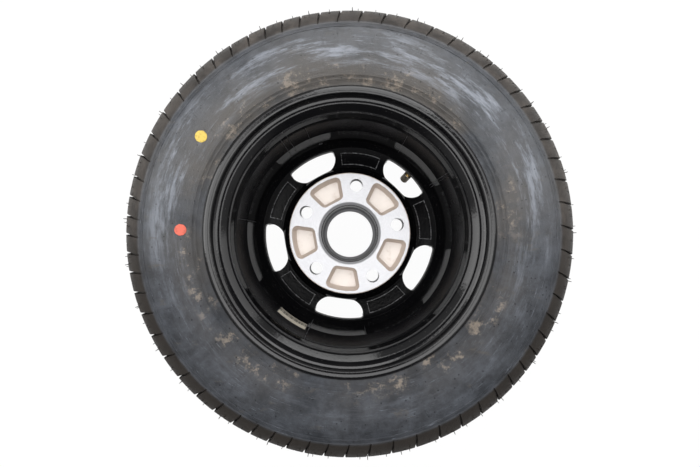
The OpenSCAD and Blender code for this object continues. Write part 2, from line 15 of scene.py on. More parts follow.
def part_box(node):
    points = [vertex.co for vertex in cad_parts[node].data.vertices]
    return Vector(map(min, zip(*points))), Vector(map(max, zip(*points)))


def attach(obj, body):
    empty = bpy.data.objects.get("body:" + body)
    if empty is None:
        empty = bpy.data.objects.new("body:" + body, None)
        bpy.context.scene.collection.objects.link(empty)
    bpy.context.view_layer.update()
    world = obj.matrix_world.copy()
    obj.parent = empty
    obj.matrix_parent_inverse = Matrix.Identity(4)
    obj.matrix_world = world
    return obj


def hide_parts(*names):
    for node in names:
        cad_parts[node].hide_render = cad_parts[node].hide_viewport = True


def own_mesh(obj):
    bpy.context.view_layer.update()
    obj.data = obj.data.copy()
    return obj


bl_info = {
    "name": "Alloy Trailer Wheel",
    "version": (1, 0, 0),
    "blender": (4, 5, 0),
    "location": "View3D > Sidebar > Wheel",
    "description": "Builds the looks of a cast trailer wheel and its tyre around the packed frame",
    "category": "Add Mesh",
}

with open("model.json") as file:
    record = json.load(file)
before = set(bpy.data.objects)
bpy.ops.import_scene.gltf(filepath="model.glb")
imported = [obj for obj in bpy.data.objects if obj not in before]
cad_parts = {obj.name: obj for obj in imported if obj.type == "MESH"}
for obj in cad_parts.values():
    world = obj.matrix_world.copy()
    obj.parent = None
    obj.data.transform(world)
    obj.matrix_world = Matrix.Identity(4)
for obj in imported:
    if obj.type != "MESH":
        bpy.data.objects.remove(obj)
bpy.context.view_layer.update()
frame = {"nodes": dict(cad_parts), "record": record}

TYRE_LOW, TYRE_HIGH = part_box("tyre")
TYRE_R = TYRE_HIGH.x
HALF_SECTION = TYRE_HIGH.z


def length(name, text, default, low, high):
    """A size in metres with its soft limits."""
    return FloatProperty(
        name=name, description=text, default=default, min=low, max=high, unit="LENGTH", precision=4
    )


def colour(name, text, default):
    """A colour of a finish."""
    return FloatVectorProperty(
        name=name, description=text, default=default, size=3, min=0, max=1, subtype="COLOR"
    )


def bearing(name, text, degrees):
    """An angle, given in degrees."""
    return FloatProperty(name=name, description=text, default=math.radians(degrees), subtype="ANGLE")


class TyreLook(bpy.types.PropertyGroup):
    """Sizes and colours of the tyre."""

    belly_r: length("Belly radius", "Radius at which the sidewall is widest", 0.181, 0.175, 0.19)
    lower_r: length("Lower section radius", "Section radius below the belly", 0.060126, 0.05, 0.07)
    crown_w: length("Crown width", "Width over which the crown falls", 0.096, 0.08, 0.11)
    crown_drop: length("Crown drop", "Fall of the crown to its shoulder", 0.00305, 0.002, 0.005)
    ledge_r: length("Ledge radius", "Radius at which the shoulder blocks end", 0.204, 0.2, 0.21)
    ledge_step: length("Ledge step", "Height of that ledge above the sidewall", 0.0008, 0.0, 0.002)
    slot_w: length("Slot width", "Width of a shoulder slot at the tread", 0.0027, 0.001, 0.005)
    slot_end_w: length("Slot end width", "Width of a slot on the sidewall", 0.0014, 0.0005, 0.003)
    slot_depth: length("Slot depth", "Depth of a shoulder slot", 0.0046, 0.001, 0.008)
    sipe_w: length("Sipe width", "Width of the cut in the middle of a block", 0.0009, 0.0003, 0.002)
    groove_w: length("Groove width", "Width of a groove round the tread", 0.008, 0.004, 0.012)
    groove_depth: length("Groove depth", "Depth of a groove round the tread", 0.0075, 0.003, 0.009)
    slot_count: IntProperty(name="Slots", description="Slots on each shoulder", default=64, min=24, max=96)
    rubber: colour("Rubber", "Clean sidewall rubber", (0.022, 0.024, 0.028))
    dull: colour("Dull rubber", "Brownish dust on the lower sidewall", (0.07, 0.062, 0.054))
    tread: colour("Tread", "Dusty rubber of the shoulder blocks", (0.03, 0.026, 0.023))
    # Pale bluish colour of the upper sidewall: partly the rubber's own blooming, partly a painted sheen.
    bloom_and_sheen: colour("Bloom", "Pale bloom on the sidewall", (0.23, 0.25, 0.29))
    soil: colour("Soil", "Dried soil near the bead", (0.32, 0.265, 0.21))


class WheelLook(bpy.types.PropertyGroup):
    """Sizes and colours of the cast wheel."""

    pad_z: length("Pad height", "Height of the machined mounting face", 0.004, 0.0, 0.02)
    pad_r: length("Pad radius", "Outer radius of the machined mounting face", 0.0699, 0.06, 0.08)
    bore_r: length("Bore radius", "Radius of the pilot bore", 0.0333, 0.03, 0.04)
    bore_end: length("Bore end", "Height down to which the bore's mouth is bright", 0.0008, -0.03, 0.004)
    bolt_circle_r: length("Bolt circle radius", "Radius of the circle of bolt holes", 0.056, 0.05, 0.06)
    bolt_hole_r: length("Bolt hole radius", "Radius of a bolt hole", 0.00735, 0.006, 0.009)
    pocket_low: length("Pocket floor", "Height just below the cast pockets' floors", -0.0083, -0.02, 0.0)
    barrel_r: length("Barrel radius", "Inner radius of the barrel below its bend", 0.1125, 0.1, 0.12)
    bend_z: length("Bend height", "Height at which the barrel opens out", 0.03, 0.02, 0.04)
    seat_z: length("Seat height", "Height at which the barrel runs straight again", 0.0522, 0.04, 0.06)
    seat_r: length("Seat radius", "Inner radius of the barrel above that height", 0.1195, 0.11, 0.13)
    panel_z: length("Panel height", "Height of the spokes' faces round the panels", -0.033, -0.04, -0.02)
    panel_in_r: length("Panel inner radius", "Radius at which a spoke's sunk panel starts", 0.086, 0.08, 0.09)
    panel_out_r: length("Panel outer radius", "Radius at which a spoke's sunk panel ends", 0.1, 0.095, 0.105)
    panel_edge_w: length("Panel edge width", "Width of the raised edge of a panel", 0.0009, 0.0003, 0.002)
    panel_half_angle: bearing("Panel half angle", "Half the angle of a panel", 14)
    edge_r: length("Edge radius", "Rounding of the casting's edges", 0.001, 0.0, 0.002)
    first_bolt: bearing("First bolt", "Angle of the first bolt hole", 82.2)
    paint: colour("Paint", "Gloss black paint", (0.003, 0.003, 0.0035))
    machined: colour("Machined metal", "Turned face of the hub", (0.58, 0.58, 0.6))
    # Darker tan copy of the pocket floors' colour, as painted shade on the pocket walls.
    casting: colour("Raw casting", "Unpainted walls of the pockets", (0.44, 0.37, 0.32))
    floors: colour("Pocket floors", "Unpainted floors of the pockets", (0.62, 0.57, 0.53))


class StageLook(bpy.types.PropertyGroup):
    """Lamps, floor and camera."""

    camera_height: length("Camera height", "Height of the lens above the wheel's middle", 0.5435, 0.4, 0.8)
    lens: FloatProperty(name="Lens", description="Focal length in millimetres", default=24.07, min=18)
    lamp: FloatProperty(name="Lamp power", description="Power of a lamp in watts", default=3, min=0)
    floor: colour("Floor", "Colour of the floor", (0.92, 0.92, 0.92))


def add_node(tree, kind, inputs=None, **settings):
    """Adds a node with its settings, and sets or links its inputs by name or number."""
    node = tree.nodes.new(kind)
    for name, value in settings.items():
        setattr(node, name, value)
    for key, value in (inputs or {}).items():
        put(tree, node.inputs[key], value)
    return node


def put(tree, socket, value):
    """Links a socket to another one, or sets its plain value."""
    if isinstance(value, bpy.types.NodeSocket):
        tree.links.new(value, socket)
    else:
        socket.default_value = value


def calc(tree, operation, a, b=0.0):
    """One step of arithmetic."""
    return add_node(tree, "ShaderNodeMath", {0: a, 1: b}, operation=operation).outputs[0]


def plus(tree, a, b):
    """The sum of two values."""
    return calc(tree, "ADD", a, b)


def times(tree, first, *others):
    """The product of several values."""
    for value in others:
        first = calc(tree, "MULTIPLY", first, value)
    return first


def vector_math(tree, operation, a, b=(0.0, 0.0, 0.0)):
    """One step of arithmetic on vectors."""
    return add_node(tree, "ShaderNodeVectorMath", {0: a, 1: b}, operation=operation).outputs


def span(tree, value, low, high, out_low=0.0, out_high=1.0):
    """A smooth rise of a value from one limit to the other."""
    node = add_node(
        tree,
        "ShaderNodeMapRange",
        {"Value": value, "From Min": low, "From Max": high, "To Min": out_low, "To Max": out_high},
        interpolation_type="SMOOTHSTEP",
    )
    return node.outputs[0]


def band(tree, value, low, high, soft):
    """One between two limits, with soft edges inside them."""
    rise = span(tree, value, low, low + soft)
    fall = span(tree, value, high - soft, high, 1.0, 0.0)
    return times(tree, rise, fall)


def mix(tree, factor, a, b):
    """One colour laid over another."""
    node = add_node(tree, "ShaderNodeMix", {0: factor, 6: a, 7: b}, data_type="RGBA")
    return node.outputs[2]


def noise(tree, vector, scale, detail=4.0, roughness=0.55, stretch=None):
    """Noise over a vector, with an own scale for each axis where the pattern is drawn out."""
    if stretch:
        vector = add_node(tree, "ShaderNodeMapping", {"Vector": vector, "Scale": stretch}).outputs[0]
    inputs = {"Vector": vector, "Scale": scale, "Detail": detail, "Roughness": roughness}
    return add_node(tree, "ShaderNodeTexNoise", inputs).outputs["Fac"]


def rgba(value, factor=1.0):
    """A colour, darker or paler by a factor, with full opacity."""
    return (*(part * factor for part in value[:3]), 1.0)


def new_group(name, inputs, outputs):
    """An empty shader node group with its sockets, and its two end nodes."""
    tree = bpy.data.node_groups.new(name, "ShaderNodeTree")
    for label, kind, default in inputs:
        socket = tree.interface.new_socket(label, in_out="INPUT", socket_type=kind)
        if default is not None:
            socket.default_value = default
    for label, kind in outputs:
        tree.interface.new_socket(label, in_out="OUTPUT", socket_type=kind)
    return tree, tree.nodes.new("NodeGroupInput"), tree.nodes.new("NodeGroupOutput")


def use_group(tree, group, inputs):
    """Places a node group with its own values."""
    node = tree.nodes.new("ShaderNodeGroup")
    node.node_tree = group
    for key, value in inputs.items():
        put(tree, node.inputs[key], value)
    return node


@cache
def wheel_place_group():
    """Where a point lies on the wheel: its radius, its angle in turns and its height."""
    tree, start, end = new_group(
        "wheel place",
        [("Point", "NodeSocketVector", None)],
        [
            ("Radius", "NodeSocketFloat"),
            ("Turn", "NodeSocketFloat"),
            ("Height", "NodeSocketFloat"),
            ("Wrapped", "NodeSocketVector"),
        ],
    )
    point = start.outputs["Point"]
    x, y, z = add_node(tree, "ShaderNodeSeparateXYZ", {0: point}).outputs
    radius = calc(tree, "SQRT", plus(tree, times(tree, x, x), times(tree, y, y)))
    turn = calc(tree, "DIVIDE", calc(tree, "ARCTAN2", y, x), 2 * math.pi)
    put(tree, end.inputs["Radius"], radius)
    put(tree, end.inputs["Turn"], turn)
    put(tree, end.inputs["Height"], z)
    aim = vector_math(tree, "NORMALIZE", vector_math(tree, "MULTIPLY", point, (1, 1, 0))[0])[0]
    lift = add_node(tree, "ShaderNodeCombineXYZ", {2: times(tree, plus(tree, radius, z), 12.0)}).outputs[0]
    put(tree, end.inputs["Wrapped"], vector_math(tree, "ADD", aim, lift)[0])
    return tree


@cache
def dust_group():
    """Scattered specks and a thin uneven film, as masks."""
    tree, start, end = new_group(
        "dust",
        [
            ("Point", "NodeSocketVector", None),
            ("Speck scale", "NodeSocketFloat", 900.0),
            ("Specks", "NodeSocketFloat", 0.5),
            ("Film scale", "NodeSocketFloat", 18.0),
            ("Film", "NodeSocketFloat", 0.3),
        ],
        [("Specks", "NodeSocketFloat"), ("Film", "NodeSocketFloat")],
    )
    point = start.outputs["Point"]
    cells = add_node(
        tree, "ShaderNodeTexVoronoi", {"Vector": point, "Scale": start.outputs["Speck scale"]}, feature="F1"
    )
    lot = add_node(tree, "ShaderNodeSeparateColor", {0: cells.outputs["Color"]}).outputs[0]
    chosen = calc(tree, "GREATER_THAN", lot, 0.86)
    near = span(tree, cells.outputs["Distance"], 0.12, 0.26, 1.0, 0.0)
    put(tree, end.inputs["Specks"], times(tree, chosen, near, start.outputs["Specks"]))
    cloud = noise(tree, point, start.outputs["Film scale"], 6.0, 0.6)
    put(tree, end.inputs["Film"], times(tree, span(tree, cloud, 0.42, 0.72), start.outputs["Film"]))
    return tree


@cache
def grain_group():
    """Fine height detail of a cast or moulded surface."""
    tree, start, end = new_group(
        "grain",
        [
            ("Point", "NodeSocketVector", None),
            ("Scale", "NodeSocketFloat", 900.0),
            ("Waves", "NodeSocketFloat", 0.3),
        ],
        [("Height", "NodeSocketFloat")],
    )
    point = start.outputs["Point"]
    fine = noise(tree, point, start.outputs["Scale"], 3.0, 0.5)
    broad = noise(tree, point, times(tree, start.outputs["Scale"], 0.12), 2.0, 0.5)
    put(tree, end.inputs["Height"], plus(tree, fine, times(tree, broad, start.outputs["Waves"])))
    return tree


class Finish:
    """A new material with its Principled shader, its Object coordinates and its place on the wheel."""

    def __init__(self, name, **sockets):
        self.material = bpy.data.materials.new(name)
        self.material.use_nodes = True
        self.tree = self.material.node_tree
        self.shader = self.tree.nodes["Principled BSDF"]
        self.point = self.tree.nodes.new("ShaderNodeTexCoord").outputs["Object"]
        self.place = use_group(self.tree, wheel_place_group(), {"Point": self.point}).outputs
        for label, value in sockets.items():
            self.shader.inputs[label.replace("_", " ")].default_value = value

    def feed(self, label, value):
        """Links or sets one of the shader's inputs."""
        put(self.tree, self.shader.inputs[label], value)

    def bump(self, height, distance, strength):
        """Adds a bump on top of the one before it."""
        inputs = {"Height": height, "Distance": distance, "Strength": strength}
        previous = self.shader.inputs["Normal"].links
        if previous:
            inputs["Normal"] = previous[0].from_socket
        self.feed("Normal", add_node(self.tree, "ShaderNodeBump", inputs).outputs[0])

    def round_edges(self, radius):
        """Rounds the edges in shading, under any bump that follows."""
        self.feed("Normal", add_node(self.tree, "ShaderNodeBevel", {"Radius": radius}, samples=6).outputs[0])

    def dust(self, **values):
        """Specks and film, as two masks."""
        inputs = {"Point": self.point}
        inputs.update({label.replace("_", " "): value for label, value in values.items()})
        return use_group(self.tree, dust_group(), inputs).outputs

    def grain(self, scale, waves=0.3):
        """Height of a fine grain."""
        return use_group(
            self.tree, grain_group(), {"Point": self.point, "Scale": scale, "Waves": waves}
        ).outputs["Height"]


def tyre_rubber(look):
    """Satin sidewall rubber with dust, scratches and soil, and dusty shoulder blocks, with painted light:
    tones grow lighter and shinier towards +Y, and pale bluish streaks on the upper sidewall are partly the
    rubber's blooming and partly a painted sheen.
    """
    finish = Finish("tyre rubber")
    tree, point, wrapped = finish.tree, finish.point, finish.place["Wrapped"]
    radius = finish.place["Radius"]
    # Painted light: a ragged rise along +Y that makes the rubber lighter towards the top, where more light
    # falls.
    across = add_node(tree, "ShaderNodeSeparateXYZ", {0: point}).outputs["Y"]
    ragged = plus(tree, across, times(tree, noise(tree, point, 7.0), 0.12))
    painted_top_light = span(tree, ragged, -0.06, 0.16, 0.12, 1.0)
    mottle = noise(tree, point, 46.0, 8.0, 0.72)
    patches = noise(tree, point, 11.0, 4.0, 0.6)
    streaks = noise(tree, wrapped, 2.6, 8.0, 0.74, (1.0, 1.0, 3.0))
    base = mix(tree, span(tree, mottle, 0.32, 0.72), rgba(look.rubber), rgba(look.rubber, 2.5))
    lower = span(tree, radius, 0.158, 0.186, 1.0, 0.25)
    dusty = times(tree, span(tree, patches, 0.36, 0.62), lower)
    # The brownish dust shows more towards +Y, following the painted top light.
    base = mix(tree, times(tree, dusty, span(tree, painted_top_light, 0.0, 1.0, 0.25, 0.8)), base, rgba(look.dull))
    # Pale bluish streaks on the upper sidewall, stronger towards +Y: partly the rubber's blooming, partly a
    # painted sheen.
    upper = band(tree, radius, 0.152, 0.203, 0.02)
    bloom_and_sheen = times(tree, span(tree, streaks, 0.48, 0.66), upper)
    base = mix(tree, times(tree, bloom_and_sheen, painted_top_light, 0.7), base, rgba(look.bloom_and_sheen))
    scratch = noise(tree, wrapped, 7.0, 6.0, 0.8, (1.0, 1.0, 14.0))
    scratch = times(tree, span(tree, scratch, 0.6, 0.68), band(tree, radius, 0.146, 0.21, 0.01))
    base = mix(tree, times(tree, scratch, 0.6), base, rgba(look.bloom_and_sheen))
    scrape = noise(tree, point, 90.0, 5.0, 0.7, (0.35, 1.0, 1.0))
    base = mix(tree, times(tree, span(tree, scrape, 0.6, 0.7), 0.5), base, rgba(look.dull))
    blots = span(tree, noise(tree, point, 60.0, 9.0, 0.8), 0.53, 0.62)
    soiled = times(tree, span(tree, patches, 0.46, 0.56), band(tree, radius, 0.139, 0.168, 0.008))
    base = mix(tree, times(tree, blots, soiled, 0.45), base, rgba(look.soil))
    specks = finish.dust(Speck_scale=260.0, Specks=0.8, Film_scale=30.0, Film=0.5)
    base = mix(tree, specks["Specks"], base, rgba(look.rubber, 0.25))
    shoulder = span(tree, radius, look.ledge_r - 0.0015, look.ledge_r + 0.003)
    # The specular level also follows the painted top light.
    shine = span(tree, painted_top_light, 0.12, 1.0, 0.1, 0.48)
    finish.feed("Specular IOR Level", times(tree, shine, span(tree, shoulder, 0.0, 1.0, 1.0, 0.4)))
    # Lit and shaded copies of the tread colour, mixed by random mottle and by the painted top light.
    mottle_and_top_light = times(tree, span(tree, mottle, 0.35, 0.7), span(tree, painted_top_light, 0.1, 0.9, 0.15, 1.0))
    tread = mix(tree, mottle_and_top_light, rgba(look.tread, 0.7), rgba(look.tread, 2.1))
    base = mix(tree, shoulder, base, tread)
    finish.feed("Base Color", base)
    matt = calc(tree, "MAXIMUM", shoulder, times(tree, dusty, 0.7))
    rough = plus(tree, span(tree, mottle, 0.3, 0.7, 0.28, 0.46), times(tree, matt, 0.25))
    finish.feed("Roughness", rough)
    finish.bump(finish.grain(600.0, 2.5), 0.0004, 0.6)
    finish.bump(streaks, 0.002, 0.5)
    return finish.material


def gloss_paint(look):
    """Black paint over cast metal: glossy on the lip, mottled by dust on the straight wall behind it."""
    finish = Finish("gloss black paint")
    tree, height = finish.tree, finish.place["Height"]
    lip_shine = span(tree, height, 0.07, 0.086, 0.0, 0.36)
    shine = plus(tree, span(tree, height, 0.022, 0.036, 0.1, 0.2), lip_shine)
    finish.feed("Specular IOR Level", shine)
    finish.round_edges(look.edge_r)
    dust = finish.dust(Speck_scale=520.0, Specks=0.6, Film_scale=26.0, Film=0.3)
    behind_lip = band(tree, height, 0.05, 0.077, 0.004)
    settled = plus(tree, times(tree, behind_lip, 0.35), 0.12)
    base = mix(tree, times(tree, dust["Film"], settled), rgba(look.paint), (0.05, 0.048, 0.046, 1.0))
    base = mix(tree, times(tree, dust["Specks"], plus(tree, settled, 0.2)), base, (0.2, 0.19, 0.18, 1.0))
    finish.feed("Base Color", base)
    wear = noise(tree, finish.point, 30.0, 5.0, 0.6)
    slope = band(tree, height, 0.028, 0.054, 0.003)
    rough = plus(tree, span(tree, wear, 0.3, 0.75, 0.04, 0.13), times(tree, slope, 0.16))
    finish.feed("Roughness", rough)
    finish.bump(finish.grain(420.0, 1.6), 0.0002, 0.35)
    return finish.material


def machined_metal(look):
    """Turned aluminium with fine lathe rings, turned dark grey towards the bore and deep inside it as painted
    shade.
    """
    finish = Finish("machined metal", Metallic=0.2, Roughness=0.4)
    tree, place = finish.tree, finish.place
    rings = calc(tree, "SINE", times(tree, place["Radius"], 2 * math.pi / 0.0006))
    uneven = noise(tree, place["Wrapped"], 14.0, 4.0, 0.6, (1.0, 1.0, 6.0))
    tone = mix(tree, span(tree, uneven, 0.35, 0.7), rgba(look.machined, 0.9), rgba(look.machined))
    stains = noise(tree, finish.point, 48.0, 6.0, 0.7)
    tone = mix(tree, times(tree, span(tree, stains, 0.62, 0.75), 0.25), tone, (0.52, 0.49, 0.46, 1.0))
    # Painted shade: the metal turns dark grey inward of the bore chamfer's outer rim and on the ledge deep in
    # the bore.
    bore_shade = times(tree, span(tree, place["Radius"], 0.0352, 0.0362, 1.0, 0.0), 0.75)
    finish.feed("Base Color", mix(tree, bore_shade, tone, (0.16, 0.16, 0.165, 1.0)))
    finish.feed("Roughness", span(tree, uneven, 0.3, 0.7, 0.3, 0.46))
    finish.bump(rings, 0.00001, 0.5)
    return finish.material


def raw_casting(look):
    """Bare cast aluminium, tan on the walls of the pockets and paler on their floors; the walls' darker tan
    is painted shade, and the floors mix both tones in patches.
    """
    finish = Finish("raw casting", Metallic=0.1, Roughness=0.6)
    tree = finish.tree
    stains = noise(tree, finish.point, 70.0, 6.0, 0.7)
    # Only the floors, low down, turn pale in patches; the walls keep the darker tan as painted shade.
    on_floor = span(tree, finish.place["Height"], -0.0078, -0.0066, 1.0, 0.0)
    pale = times(tree, on_floor, span(tree, stains, 0.2, 0.5))
    finish.feed("Base Color", mix(tree, pale, rgba(look.casting), rgba(look.floors)))
    finish.bump(finish.grain(1100.0, 1.5), 0.0003, 0.5)
    return finish.material


def moulded_rubber():
    """Black rubber of the valve and its seal."""
    finish = Finish("moulded rubber", Roughness=0.5, Specular_IOR_Level=0.4)
    tree = finish.tree
    dust = finish.dust(Speck_scale=1500.0, Specks=0.2, Film_scale=120.0, Film=0.3)
    base = mix(tree, dust["Film"], (0.02, 0.02, 0.021, 1.0), (0.09, 0.085, 0.08, 1.0))
    finish.feed("Base Color", base)
    finish.bump(finish.grain(2600.0), 0.00005, 0.5)
    return finish.material


def turned_metal(name, tone, tarnish_and_highlight, metallic=1.0, roughness=0.28):
    """A small turned or plated piece, tarnished in patches; on the casting's marks those grey patches are a
    painted highlight instead.
    """
    finish = Finish(name, Metallic=metallic)
    tree = finish.tree
    patches = noise(tree, finish.point, 420.0, 5.0, 0.65)
    finish.feed("Base Color", mix(tree, span(tree, patches, 0.4, 0.68), rgba(tone), rgba(tarnish_and_highlight)))
    finish.feed("Roughness", span(tree, patches, 0.3, 0.7, roughness, roughness + 0.25))
    finish.bump(finish.grain(3000.0), 0.00003, 0.4)
    return finish.material


def label_foil():
    """Silver foil with a thin dark border and one row of marks that say nothing."""
    finish = Finish("label foil", Metallic=0.35, Roughness=0.42)
    tree, turn, height = finish.tree, finish.place["Turn"], finish.place["Height"]
    along, across = band(tree, turn, -0.3684, -0.3186, 0.0006), band(tree, height, 0.0209, 0.0386, 0.0004)
    row = band(tree, height, 0.026, 0.0335, 0.0008)
    marks = noise(tree, add_node(tree, "ShaderNodeCombineXYZ", {0: turn}).outputs[0], 500.0, 2.0, 0.6)
    marks = times(tree, row, span(tree, marks, 0.42, 0.5), 0.85)
    tone = mix(tree, marks, (0.5, 0.46, 0.38, 1.0), (0.06, 0.055, 0.05, 1.0))
    finish.feed("Base Color", mix(tree, times(tree, along, across), (0.03, 0.03, 0.03, 1.0), tone))
    finish.bump(finish.grain(1500.0, 2.0), 0.00006, 0.5)
    return finish.material


Row = namedtuple("Row", "r z nr nz slot sipe")


def side_curve(look, r):
    """Section radius of the sidewall, which changes at its belly."""
    upper = TYRE_R - look.crown_drop - look.ledge_step - look.belly_r
    return upper if r >= look.belly_r else look.lower_r


def crown_curve(look):
    """Section radius of the tread's crown."""
    return (look.crown_w**2 / 4 + look.crown_drop**2) / (2 * look.crown_drop)


def tyre_outer_rows(look):
    """Rows of the tyre's outside, from the middle of the tread to the rim's flange."""
    crown = crown_curve(look)
    rows = []

    def on_crown(z, sink=0.0, slot=0.0, sipe=0.0):
        reach = math.sqrt(crown**2 - z * z)
        rows.append(Row(TYRE_R - crown + reach - sink, z, reach / crown, z / crown, slot, sipe))

    def on_side(r, lift=0.0, slot=0.0, sipe=0.0):
        curve = side_curve(look, r)
        across, raised = r - look.belly_r, curve + lift
        rise = math.sqrt(raised**2 - across * across)
        rows.append(Row(r, HALF_SECTION - curve + rise, across / raised, rise / raised, slot, sipe))

    def on_ring(outer, inner, lift):
        flank = 0.0005
        for r, height in ((outer, 0.0), (outer - flank, lift), (inner + flank, lift), (inner, 0.0)):
            on_side(r, height)

    wall = 0.0006
    half_groove = look.groove_w / 2
    inner_groove, outer_groove = 0.015, 0.043
    on_crown(0.0)
    on_crown(0.0055)
    for middle in (inner_groove, outer_groove):
        on_crown(middle - half_groove)
        on_crown(middle - half_groove + wall, look.groove_depth)
        on_crown(middle + half_groove - wall, look.groove_depth)
        if middle == inner_groove:
            on_crown(middle + half_groove)
            for z in (0.024, 0.029, 0.034):
                on_crown(z)
    depth = look.slot_depth
    for z in (0.047, 0.051, 0.055, 0.059):
        on_crown(z, slot=depth, sipe=depth / 2 if z > 0.05 else 0.0)
    crown_end = rows[-1]
    on_side(0.2262, look.ledge_step, depth, depth / 2)
    side_start = rows.pop()
    corner = Vector((0.22865, 0.0645))
    crown_normal, side_normal = Vector((crown_end.nr, crown_end.nz)), Vector((side_start.nr, side_start.nz))
    for t in (0.2, 0.4, 0.6, 0.8, 1.0):
        a, b, c = (1 - t) ** 2, 2 * t * (1 - t), t * t
        r = a * crown_end.r + b * corner[0] + c * side_start.r
        z = a * crown_end.z + b * corner[1] + c * side_start.z
        normal = crown_normal.lerp(side_normal, t).normalized()
        rows.append(Row(r, z, normal[0], normal[1], depth, depth / 2))
    sipe_shares = {0.2235: 0.5, 0.2205: 0.35}
    for r in (0.2235, 0.2205, 0.2175, 0.2145, 0.211, 0.2075, look.ledge_r + 0.0007):
        share = (r - look.ledge_r) / (side_start.r - look.ledge_r)
        slot = look.ledge_step + (depth - look.ledge_step) * share**0.8
        on_side(r, look.ledge_step, slot, depth * sipe_shares.get(r, 0.0))
    on_side(look.ledge_r, look.ledge_step * 0.8)
    on_side(look.ledge_r - 0.0008, 0.0)
    on_side(0.2018)
    on_ring(0.2004, 0.1986, 0.0006)
    for r in (0.195, 0.19, 0.1855, 0.181, 0.1765, 0.172, 0.167, 0.162, 0.1575):
        on_side(r)
    on_ring(0.1538, 0.1522, 0.0005)
    on_ring(0.1503, 0.1487, 0.0005)
    return rows


BEAD = (
    (0.1338, 0.076),
    (0.1295, 0.0757),
    (0.1272, 0.0735),
    (0.1272, 0.0625),
    (0.1285, 0.0613),
    (0.1335, 0.0613),
)


def tyre_bead_rows(look):
    """Rows under the rim's flange, round the bead and up the inside to the middle of the crown."""
    flange_r, flange_z, curve = 0.1348, 0.0857, 0.0097
    wall, crown_wall = 0.008, 0.015
    points = []
    for angle in (2, -18, -38, -58, -78):
        turn = math.radians(angle)
        points.append((flange_r + curve * math.cos(turn), flange_z + curve * math.sin(turn)))
    points += BEAD
    for r in (0.1365, 0.142, 0.151, 0.162, 0.172, 0.181, 0.192, 0.203, 0.212):
        side = side_curve(look, r)
        rise = math.sqrt((side - wall) ** 2 - (r - look.belly_r) ** 2)
        points.append((r, HALF_SECTION - side + rise))
    crown = crown_curve(look)
    for z in (0.06, 0.045, 0.03, 0.015, 0.0):
        points.append((TYRE_R - crown + math.sqrt((crown - crown_wall) ** 2 - z * z), z))
    return [Row(r, z, 0.0, 0.0, 0.0, 0.0) for r, z in points]


def slot_angle(index, count):
    """Angle of a shoulder slot: even spacing with five slow waves laid over it."""
    even = 360 / count * index
    return math.radians(even + 1.7 * math.sin(math.radians(5 * even)))


def tyre_mesh(look):
    """A closed grid round the tyre whose columns follow the leaning, narrowing slots."""
    half = tyre_outer_rows(look) + tyre_bead_rows(look)
    mirrored = [row._replace(z=-row.z, nz=-row.nz) for row in reversed(half[1:-1])]
    rows = half + mirrored
    wall = 0.0002
    columns = []
    for index in range(look.slot_count):
        here = slot_angle(index, look.slot_count)
        pitch = slot_angle(index + 1, look.slot_count) - here
        middle = here + pitch * 0.52
        columns += [
            (here, -1, -wall, 0, 0),
            (here, -1, wall, 1, 0),
            (here, 1, -wall, 1, 0),
            (here, 1, wall, 0, 0),
            (here + pitch * 0.3, 0, 0, 0, 0),
            (middle, 0, -look.sipe_w / 2, 0, 0),
            (middle, 0, 0, 0, 1),
            (middle, 0, look.sipe_w / 2, 0, 0),
            (here + pitch * 0.76, 0, 0, 0, 0),
        ]
    angles, sides, shifts, slots, sipes = np.array(columns).T
    lean_full = math.radians(1.6)
    points = np.zeros((len(rows), len(columns), 3))
    for i, row in enumerate(rows):
        fall = min(1.0, max(0.0, (TYRE_R - row.r) / (TYRE_R - look.ledge_r)))
        width = look.slot_w + (look.slot_end_w - look.slot_w) * fall
        angle = angles + lean_full * fall + (sides * width / 2 + shifts) / row.r
        sink = slots * row.slot + sipes * row.sipe
        r = row.r - sink * row.nr
        points[i] = np.stack([r * np.cos(angle), r * np.sin(angle), row.z - sink * row.nz], axis=1)
    count = len(columns)
    down = np.arange(len(rows))[:, None] * count
    across = np.arange(count)[None, :]
    below = np.roll(down, -1, axis=0)
    beside = np.roll(across, -1, axis=1)
    faces = np.stack([down + across, down + beside, below + beside, below + across], axis=2).reshape(-1, 4)
    mesh = bpy.data.meshes.new("tyre_shell")
    mesh.from_pydata(points.reshape(-1, 3).tolist(), [], faces.tolist())
    mesh.validate()
    turn_outward(mesh)
    mesh.polygons.foreach_set("use_smooth", [True] * len(mesh.polygons))
    mesh.set_sharp_from_angle(angle=math.radians(38))
    return mesh


def turn_outward(mesh):
    """Makes every face of a closed mesh point outwards."""
    work = bmesh.new()
    work.from_mesh(mesh)
    bmesh.ops.recalc_face_normals(work, faces=work.faces)
    work.to_mesh(mesh)
    work.free()


def add_piece(name, mesh, body, slot, *nodes):
    """Links a mesh as a piece that rides on a body and may stand for CAD nodes."""
    piece = bpy.data.objects.new(name, mesh)
    bpy.context.scene.collection.objects.link(piece)
    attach(piece, body)
    if nodes:
        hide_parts(*nodes)
    return piece


def dress(node, material):
    """Gives a CAD node its material."""
    for slot in frame["nodes"][node].material_slots:
        slot.material = material


